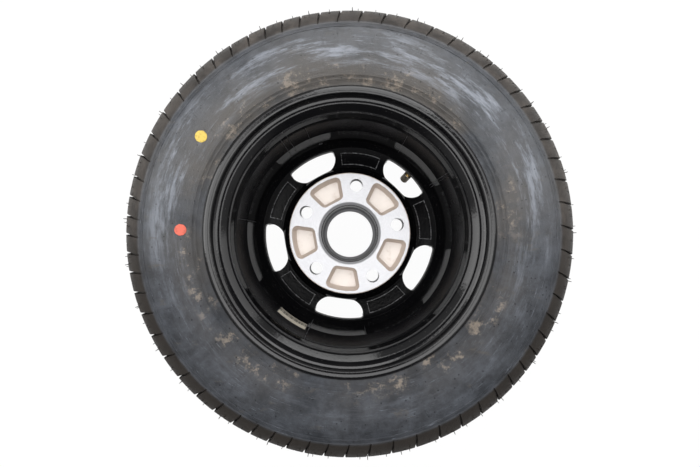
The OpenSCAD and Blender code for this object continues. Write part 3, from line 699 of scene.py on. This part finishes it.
def merged_copy(node, name):
    """A closed copy of a CAD node's mesh that keeps its smooth normals, with its faces' centres."""
    source = frame["nodes"][node].data
    points = np.empty(len(source.vertices) * 3)
    source.vertices.foreach_get("co", points)
    corners = np.empty(len(source.loops), dtype=int)
    source.loops.foreach_get("vertex_index", corners)
    normals = np.empty(len(source.loops) * 3)
    source.corner_normals.foreach_get("vector", normals)
    _, first, joined = np.unique(
        np.round(points.reshape(-1, 3) * 1e6), axis=0, return_index=True, return_inverse=True
    )
    faces = joined.reshape(-1)[corners].reshape(-1, 3)
    kept = (faces[:, 0] != faces[:, 1]) & (faces[:, 1] != faces[:, 2]) & (faces[:, 2] != faces[:, 0])
    points = points.reshape(-1, 3)[first]
    mesh = bpy.data.meshes.new(name)
    mesh.from_pydata(points.tolist(), [], faces[kept].tolist())
    mesh.polygons.foreach_set("use_smooth", [True] * len(mesh.polygons))
    mesh.normals_split_custom_set(normals.reshape(-1, 3, 3)[kept].reshape(-1, 3).tolist())
    return mesh, points[faces[kept]].mean(axis=1)


PAINTED, MACHINED, RAW = range(3)


def casting_finishes(look, centres):
    """Sorts the casting's faces by finish: paint, machined metal or raw metal."""
    x, y, z = centres.T
    radius = np.hypot(x, y)
    finish = np.full(len(centres), PAINTED)
    near_pad = (z > look.pocket_low) & (radius < look.pad_r)
    bore_mouth_r = look.bore_r + 0.004
    finish[near_pad & (radius > bore_mouth_r)] = RAW
    for index in range(5):
        angle = look.first_bolt + index * math.tau / 5
        across, up = x - look.bolt_circle_r * math.cos(angle), y - look.bolt_circle_r * math.sin(angle)
        finish[(np.hypot(across, up) < look.bolt_hole_r + 0.0006) & (z > -0.03)] = PAINTED
    finish[(radius < bore_mouth_r) & (z > look.bore_end)] = MACHINED
    finish[(radius > 0.029) & (radius < 0.0325) & (z < -0.05)] = MACHINED
    finish[(z > look.pad_z - 0.0002) & (radius < look.pad_r)] = MACHINED
    return finish


@cache
def ring_group():
    """Geometry nodes that repeat a small solid round the wheel's axis."""
    tree = bpy.data.node_groups.new("ring of solids", "GeometryNodeTree")
    for label, kind, default in (
        ("Solid", "NodeSocketGeometry", None),
        ("Count", "NodeSocketInt", 24),
        ("Start", "NodeSocketFloat", 0.0),
        ("Stray", "NodeSocketFloat", 0.0),
        ("Seed", "NodeSocketInt", 1),
        ("Material", "NodeSocketMaterial", None),
    ):
        socket = tree.interface.new_socket(label, in_out="INPUT", socket_type=kind)
        if default is not None:
            socket.default_value = default
    tree.interface.new_socket("Ring", in_out="OUTPUT", socket_type="NodeSocketGeometry")
    given = tree.nodes.new("NodeGroupInput").outputs
    points = add_node(tree, "GeometryNodePoints", {"Count": given["Count"]}).outputs[0]
    step = calc(tree, "DIVIDE", math.tau, given["Count"])
    index = add_node(tree, "GeometryNodeInputIndex").outputs[0]
    even = plus(tree, times(tree, index, step), given["Start"])
    stray = add_node(tree, "FunctionNodeRandomValue", {"Seed": given["Seed"]}, data_type="FLOAT")
    put(tree, stray.inputs[2], times(tree, given["Stray"], -1.0))
    put(tree, stray.inputs[3], given["Stray"])
    turn = add_node(tree, "ShaderNodeCombineXYZ", {2: plus(tree, even, stray.outputs[1])}).outputs[0]
    ring = add_node(
        tree, "GeometryNodeInstanceOnPoints", {"Points": points, "Instance": given["Solid"], "Rotation": turn}
    ).outputs[0]
    real = add_node(tree, "GeometryNodeRealizeInstances", {0: ring}).outputs[0]
    dressed = add_node(tree, "GeometryNodeSetMaterial", {"Geometry": real, "Material": given["Material"]})
    put(tree, tree.nodes.new("NodeGroupOutput").inputs[0], dressed.outputs[0])
    return tree


def repeat_round(mesh, material, **values):
    """One mesh of a small solid repeated round the axis."""
    mesh.materials.append(material)
    carrier = bpy.data.objects.new("carrier", mesh)
    bpy.context.scene.collection.objects.link(carrier)
    modifier = carrier.modifiers.new("ring", "NODES")
    modifier.node_group = ring_group()
    sockets = {item.name: item.identifier for item in modifier.node_group.interface.items_tree}
    modifier[sockets["Material"]] = material
    for label, value in values.items():
        modifier[sockets[label]] = value
    evaluated = carrier.evaluated_get(bpy.context.evaluated_depsgraph_get())
    result = bpy.data.meshes.new_from_object(evaluated)
    carrier.modifiers.clear()
    bpy.data.objects.remove(carrier)
    return result


def side_point(look, r, lift=0.0):
    """Height and slope of the sidewall at a radius, raised by a distance."""
    curve = side_curve(look, r)
    across = r - look.belly_r
    rise = math.sqrt(curve**2 - across**2)
    return Vector((r + lift * across / curve, 0, HALF_SECTION - curve + rise + lift * rise / curve))


def solid(name, points, faces):
    """A closed mesh whose faces point outwards."""
    mesh = bpy.data.meshes.new(name)
    mesh.from_pydata(points, [], faces)
    turn_outward(mesh)
    return mesh


def tube_faces(around, across):
    """Faces of a tube that closes on itself, with its points listed ring after ring."""
    faces = []
    for i in range(around):
        for j in range(across):
            k, n = (i + 1) % around * across, (j + 1) % across
            faces.append((i * across + j, k + j, k + n, i * across + n))
    return faces


BOX_FACES = ((3, 2, 1, 0), (4, 5, 6, 7), (0, 1, 5, 4), (1, 2, 6, 5), (2, 3, 7, 6), (3, 0, 4, 7))
SPIKE_FACES = ((0, 1, 2), (5, 4, 3), (0, 3, 4, 1), (1, 4, 5, 2), (2, 5, 3, 0))


def side_tick(look, r_in, r_out, width, lift):
    """A fine moulded line that points away from the axis, let into the sidewall."""
    corners = []
    for depth, half in ((-0.0004, width / 2), (lift, width / 4)):
        inner, outer = side_point(look, r_in, depth), side_point(look, r_out, depth)
        for end, side in ((inner, -half), (outer, -half), (outer, half), (inner, half)):
            corners.append((end.x, side, end.z))
    return solid("tick", corners, BOX_FACES)


def whisker(look, r, lift, radius):
    """A thin rubber hair left by a vent of the mould, standing on the shoulder."""
    foot, tip = side_point(look, r, -0.0005), side_point(look, r, lift)
    points = []
    for centre, size in ((foot, radius), (tip, radius * 0.5)):
        points += [(centre.x, size * math.cos(a), centre.z + size * math.sin(a)) for a in (0.5, 2.6, 4.7)]
    return solid("whisker", points, SPIKE_FACES)


def joined(name, meshes):
    """One mesh from several, with their materials kept in order of first use."""
    result = bpy.data.meshes.new(name)
    work = bmesh.new()
    for mesh in meshes:
        first = len(work.faces)
        work.from_mesh(mesh)
        work.faces.ensure_lookup_table()
        material = mesh.materials[0]
        if material.name not in result.materials:
            result.materials.append(material)
        index = result.materials.find(material.name)
        for face in work.faces[first:]:
            face.material_index = index
    work.to_mesh(result)
    work.free()
    return result


def degrees_from_top(angle):
    """The angle from +X of a place given in degrees clockwise from the picture's top."""
    return math.radians(90 - angle)


def turned_to(angle):
    """The turn that takes a solid from +X to such a place."""
    return Matrix.Rotation(degrees_from_top(angle), 4, "Z")


def tyre_marks(look, rubber):
    """Moulded lines, pips and hairs that repeat round the tyre."""
    rings = []
    for inner, outer, width, lift, count, start in (
        (0.1835, 0.1905, 0.0009, 0.0004, 24, 6.9),
        (0.1625, 0.1655, 0.0010, 0.0004, 16, 13.8),
        (0.1445, 0.1505, 0.0007, 0.0003, 16, 13.8),
        (0.1512, 0.1535, 0.0012, 0.0004, 16, 46.3),
    ):
        tick = side_tick(look, inner, outer, width, lift)
        rings.append(repeat_round(tick, rubber, Count=count, Start=degrees_from_top(start)))
    for r, lift, size, count, start, stray, seed in (
        (0.2225, 0.0042, 0.0006, 29, 3.0, 0.05, 3),
        (0.2165, 0.0026, 0.0005, 37, 8.0, 0.06, 5),
        (0.2265, 0.0028, 0.0005, 53, 1.0, 0.04, 8),
        (0.1905, 0.0012, 0.00035, 19, 11.0, 0.12, 13),
        (0.1745, 0.0011, 0.00035, 23, 5.0, 0.1, 21),
    ):
        hair = whisker(look, r, lift, size)
        rings.append(
            repeat_round(hair, rubber, Count=count, Start=degrees_from_top(start), Stray=stray, Seed=seed)
        )
    stamp = lay_on_side(thin_ring(rubber, 0.0053, 0.0004), look, 0.1529, 30.6)
    return joined("tyre_marks", rings + [stamp])


def lay_on_side(mesh, look, r, angle):
    """Lays a flat solid on the sidewall and bends it round the sidewall's section."""
    centre = side_point(look, r, 0.0001)
    tilt = math.atan2(r - look.belly_r, look.lower_r)
    for vert in mesh.vertices:
        vert.co.z -= vert.co.x**2 / (2 * look.lower_r)
    mesh.transform(turned_to(angle) @ Matrix.Translation(centre) @ Matrix.Rotation(tilt, 4, "Y"))
    mesh.polygons.foreach_set("use_smooth", [True] * len(mesh.polygons))
    return mesh


def paint_dot(material, radius):
    """A flat lens of paint with a slightly uneven edge."""
    work = bmesh.new()
    bmesh.ops.create_uvsphere(work, u_segments=40, v_segments=12, radius=radius)
    for vert in work.verts:
        x, y, z = vert.co
        vert.co = (x, y * (1 + 0.03 * math.sin(9 * x / radius)), z * 0.05)
    mesh = bpy.data.meshes.new("paint_dot")
    work.to_mesh(mesh)
    work.free()
    mesh.materials.append(material)
    return mesh


def thin_ring(material, radius, wire):
    """A raised ring with a round section."""
    around, across = 40, 8
    points = []
    for i in range(around):
        a = math.tau * i / around
        for j in range(across):
            b = math.tau * j / across
            reach = radius + wire * math.cos(b)
            points.append((reach * math.cos(a), reach * math.sin(a), wire * math.sin(b)))
    mesh = solid("ring", points, tube_faces(around, across))
    mesh.materials.append(material)
    return mesh


def barrel_radius(look, z):
    """Inner radius of the barrel at a height."""
    share = min(1.0, max(0.0, (z - look.bend_z) / (look.seat_z - look.bend_z)))
    return look.barrel_r + (look.seat_r - look.barrel_r) * share


def parting_line(look, material, angle, low, high, width, height):
    """A fine ridge left between two parts of the casting mould, down the barrel's wall."""
    levels = [low] + [z for z in (look.bend_z, look.seat_z) if low < z < high] + [high]
    points = []
    for z in levels:
        reach = barrel_radius(look, z)
        points += [(reach + 0.0004, -width / 2, z), (reach + 0.0004, width / 2, z), (reach - height, 0, z)]
    last = len(points) - 3
    faces = [(0, 1, 2), (last + 2, last + 1, last)]
    for start in range(0, last, 3):
        for j in range(3):
            k = (j + 1) % 3
            faces.append((start + j, start + k, start + 3 + k, start + 3 + j))
    mesh = solid("parting_line", points, faces)
    mesh.transform(turned_to(angle))
    mesh.materials.append(material)
    return mesh


def panel_frame(look, material):
    """Fine raised edge of the sunk panel on a spoke, for the spoke that lies along +X."""
    half = look.panel_half_angle
    turns = [half * (i / 5 - 1) for i in range(11)]
    outline = [(look.panel_in_r, a) for a in turns] + [(look.panel_out_r, a) for a in reversed(turns)]
    wide, tall = look.panel_edge_w / 2, look.panel_edge_w / 3
    middle = (look.panel_in_r + look.panel_out_r) / 2
    points = []
    for r, a in outline:
        outward = 1 if r > middle else -1
        spread = wide / r * (1 if a > 0 else -1) if abs(a) > 0.99 * half else 0
        for side, lift in ((-1, -0.0006), (1, -0.0006), (1, tall), (-1, tall)):
            reach, turn = r + side * outward * wide, a + side * spread
            points.append((reach * math.cos(turn), reach * math.sin(turn), look.panel_z + lift))
    edge = solid("panel_frame", points, tube_faces(len(outline), 4))
    return repeat_round(edge, material, Count=5, Start=look.first_bolt)


def casting_marks(look, paint):
    """The mould's parting lines, one ejector mark inside the barrel and the raised edges of the spokes'
    panels, in black paint with grey patches that are a painted highlight.
    """
    lines = [
        parting_line(look, paint, angle, low, high, width, height)
        for angle, low, high, width, height in (
            (31.0, -0.01, 0.05, 0.0008, 0.0003),
            (58.8, -0.021, 0.068, 0.0012, 0.0006),
            (60.2, -0.021, 0.068, 0.0012, 0.0006),
            (171.0, -0.021, 0.03, 0.0012, 0.0005),
            (203.0, -0.021, 0.068, 0.0014, 0.0006),
            (277.0, -0.014, 0.048, 0.001, 0.0005),
            (323.2, 0.0, 0.062, 0.0012, 0.0006),
            (326.8, 0.005, 0.062, 0.0012, 0.0006),
            (337.0, 0.012, 0.052, 0.001, 0.0004),
        )
    ]
    mark, mark_angle, mark_z = thin_ring(paint, 0.0019, 0.0005), 342.0, -0.012
    on_wall = Matrix.Translation((barrel_radius(look, mark_z) - 0.0001, 0, mark_z))
    mark.transform(turned_to(mark_angle) @ on_wall @ Matrix.Rotation(math.pi / 2, 4, "Y"))
    return joined("casting_marks", lines + [mark, panel_frame(look, paint)])


def dot_paint(name, tone, speck):
    """Brushed-on marking paint, uneven and darker at a speck."""
    finish = Finish(name, Roughness=0.55)
    tree = finish.tree
    patches = noise(tree, finish.point, 420.0, 4.0, 0.6)
    finish.feed("Base Color", mix(tree, span(tree, patches, 0.5, 0.7), rgba(tone), rgba(speck)))
    return finish.material


def core_spring(steel):
    """The valve core's spring as a merged steel copy standing for its CAD node; the far end along the press
    joint's axis is found, but nothing makes the spring shorten.
    """
    mesh, centres = merged_copy("core_spring", "coiled_spring")
    mesh.materials.append(steel)
    piece = add_piece("coiled_spring", mesh, "wheel", "core_steel", "core_spring")
    rows = frame["record"]["behaviour"]["joints"]
    press = next(row for row in rows if row["name"] == "core_pin_press")
    along = centres @ np.array(press["axis"])
    anchor = centres[along.argmax()].tolist()
    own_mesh(piece)


class WHEEL_OT_tyre(bpy.types.Operator):
    """Build the tyre with its tread, shoulder slots and sidewall lines"""

    bl_idname = "trailer_wheel.tyre"
    bl_label = "Tyre"

    def execute(self, context):
        look = context.scene.tyre_look
        mesh = tyre_mesh(look)
        rubber = tyre_rubber(look)
        mesh.materials.append(rubber)
        add_piece("tyre_shell", mesh, "wheel", "tyre_rubber", "tyre")
        add_piece("tyre_marks", tyre_marks(look, rubber), "wheel", "tyre_rubber")
        yellow = dot_paint("yellow dot paint", (0.56, 0.4, 0.07), (0.3, 0.2, 0.04))
        red = dot_paint("red dot paint", (0.56, 0.1, 0.06), (0.4, 0.07, 0.045))
        dots = [
            lay_on_side(paint_dot(yellow, 0.0057), look, 0.1692, 302.6),
            lay_on_side(paint_dot(red, 0.0055), look, 0.1624, 270.5),
        ]
        add_piece("paint_dots", joined("paint_dots", dots), "wheel", "tyre_rubber")
        return {"FINISHED"}


class WHEEL_OT_casting(bpy.types.Operator):
    """Build the painted casting with its machined face and raw pockets"""

    bl_idname = "trailer_wheel.casting"
    bl_label = "Cast wheel"

    def execute(self, context):
        look = context.scene.wheel_look
        mesh, centres = merged_copy("wheel", "cast_wheel")
        for material in (gloss_paint(look), machined_metal(look), raw_casting(look)):
            mesh.materials.append(material)
        mesh.polygons.foreach_set("material_index", casting_finishes(look, centres))
        add_piece("cast_wheel", mesh, "wheel", "gloss_black_casting", "wheel")
        # Black paint with grey patches: a painted highlight on the fine ridges and the ring mark.
        painted_highlight = turned_metal(
            "rubbed paint", (0.008, 0.008, 0.008), (0.16, 0.16, 0.17), metallic=0.0, roughness=0.2
        )
        add_piece("casting_marks", casting_marks(look, painted_highlight), "wheel", "gloss_black_casting")
        return {"FINISHED"}


class WHEEL_OT_valve(bpy.types.Operator):
    """Finish the valve, its core and its cap"""

    bl_idname = "trailer_wheel.valve"
    bl_label = "Valve"

    def execute(self, context):
        rubber = moulded_rubber()
        brass = turned_metal("brass", (0.72, 0.5, 0.2), (0.38, 0.25, 0.1))
        steel = turned_metal("core steel", (0.6, 0.6, 0.58), (0.4, 0.38, 0.34))
        cap = turned_metal("cap metal", (0.55, 0.5, 0.42), (0.24, 0.2, 0.15), roughness=0.2)
        washer = turned_metal("washer", (0.5, 0.05, 0.03), (0.3, 0.03, 0.02), metallic=0.0, roughness=0.5)
        for node in ("valve_rubber", "core_disc", "cap_seal"):
            dress(node, rubber)
        for node in ("valve_stem", "core_body"):
            dress(node, brass)
        dress("core_pin", steel)
        core_spring(steel)
        dress("core_washer", washer)
        dress("valve_cap", cap)
        return {"FINISHED"}


class WHEEL_OT_label(bpy.types.Operator):
    """Finish the foil label inside the barrel"""

    bl_idname = "trailer_wheel.label"
    bl_label = "Barrel label"

    def execute(self, context):
        dress("barrel_label", label_foil())
        return {"FINISHED"}


def floor_material(look):
    """A pale floor that looks nearly white, also in gloss, with the wheel's shadow on it."""
    finish = Finish("floor", Roughness=0.7)
    tree = finish.tree
    finish.feed("Base Color", rgba(look.floor))
    path = add_node(tree, "ShaderNodeLightPath").outputs
    mirrored = calc(tree, "MAXIMUM", path["Is Glossy Ray"], path["Is Transmission Ray"])
    direct_share, mirrored_share = 0.97, 0.2
    direct = times(tree, path["Is Camera Ray"], direct_share)
    seen = calc(tree, "MAXIMUM", direct, times(tree, mirrored, mirrored_share))
    white = add_node(tree, "ShaderNodeEmission", {"Color": (1.0, 1.0, 1.0, 1.0), "Strength": 1.0})
    both = add_node(tree, "ShaderNodeMixShader", {0: seen, 1: finish.shader.outputs[0], 2: white.outputs[0]})
    put(tree, tree.nodes["Material Output"].inputs["Surface"], both.outputs[0])
    return finish.material


def add_lamp(name, power, size, place):
    """A square soft lamp that faces the wheel."""
    lamp = bpy.data.lights.new(name, "AREA")
    lamp.energy = power
    lamp.size = size
    lamp_object = bpy.data.objects.new(name, lamp)
    lamp_object.location = place
    lamp_object.rotation_euler = (-Vector(place)).to_track_quat("-Z", "Y").to_euler()
    bpy.context.scene.collection.objects.link(lamp_object)


def studio_world():
    """A bright room, dark behind the camera, in one patch of its ceiling and low on the near side."""
    world = bpy.data.worlds.new("studio")
    world.use_nodes = True
    tree = world.node_tree
    toward = add_node(tree, "ShaderNodeTexCoord").outputs["Generated"]
    _, side, upward = add_node(tree, "ShaderNodeSeparateXYZ", {0: toward}).outputs
    hidden = vector_math(tree, "DOT_PRODUCT", toward, (0.09, 0.32, 0.943))["Value"]
    open_part = span(tree, hidden, 0.935, 0.972, 1.0, 0.03)
    ceiling = times(tree, band(tree, upward, 0.76, 0.992, 0.008), 2.6)
    near_side = span(tree, side, -0.8, -0.5, 0.05, 1.0)
    overhead = plus(tree, ceiling, span(tree, upward, 0.98, 0.993, 0.5, 0.03))
    background = tree.nodes["Background"].inputs
    background["Color"].default_value = (1, 1, 1, 1)
    put(tree, background["Strength"], times(tree, overhead, near_side, open_part))
    return world


LAMPS = (
    ("upper lamp", 1.2, 0.6, (0.1, 0.55, 0.62)),
    ("right lamp", 0.8, 0.7, (0.8, 0.35, 0.6)),
    ("left lamp", 0.7, 0.45, (-0.66, 0.12, 0.56)),
)
LENS_ASIDE = (0.0015, -0.0107)
LENS_TILT = (math.atan2(9, 468), math.atan2(1, 468), 0)


class WHEEL_OT_stage(bpy.types.Operator):
    """Set the floor, the lamps and the camera"""

    bl_idname = "trailer_wheel.stage"
    bl_label = "Stage"

    def execute(self, context):
        look = context.scene.stage_look
        scene = context.scene
        bpy.ops.mesh.primitive_plane_add(size=8, location=(0, 0, TYRE_LOW.z - 0.0002))
        floor = context.object
        floor.name = "floor"
        floor.data.materials.append(floor_material(look))
        scene.world = studio_world()
        for name, share, size, place in LAMPS:
            add_lamp(name, look.lamp * share, size, place)
        camera = bpy.data.objects.new("camera", bpy.data.cameras.new("camera"))
        camera.data.sensor_width = 36
        camera.data.lens = look.lens
        camera.data.clip_start = 0.01
        camera.location = (*LENS_ASIDE, look.camera_height)
        camera.rotation_euler = LENS_TILT
        scene.collection.objects.link(camera)
        scene.camera = camera
        scene.view_settings.view_transform = "Standard"
        return {"FINISHED"}


OPERATORS = (WHEEL_OT_tyre, WHEEL_OT_casting, WHEEL_OT_valve, WHEEL_OT_label, WHEEL_OT_stage)


class WHEEL_PT_parts(bpy.types.Panel):
    """Shows a button for each step that builds the wheel"""

    bl_idname = "WHEEL_PT_parts"
    bl_label = "Alloy Trailer Wheel"
    bl_space_type = "VIEW_3D"
    bl_region_type = "UI"
    bl_category = "Wheel"

    def draw(self, context):
        layout = self.layout
        for operator in OPERATORS:
            layout.operator(operator.bl_idname)


LOOKS = (("tyre_look", TyreLook), ("wheel_look", WheelLook), ("stage_look", StageLook))


def register():
    for name, look in LOOKS:
        bpy.utils.register_class(look)
        setattr(bpy.types.Scene, name, PointerProperty(type=look))
    for operator in OPERATORS:
        bpy.utils.register_class(operator)
    bpy.utils.register_class(WHEEL_PT_parts)


def unregister():
    bpy.utils.unregister_class(WHEEL_PT_parts)
    for operator in reversed(OPERATORS):
        bpy.utils.unregister_class(operator)
    for name, look in reversed(LOOKS):
        delattr(bpy.types.Scene, name)
        bpy.utils.unregister_class(look)


def main():
    """Registers the add-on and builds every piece."""
    register()
    bpy.ops.trailer_wheel.tyre()
    bpy.ops.trailer_wheel.casting()
    bpy.ops.trailer_wheel.valve()
    bpy.ops.trailer_wheel.label()
    bpy.ops.trailer_wheel.stage()


if __name__ == "__main__":
    main()
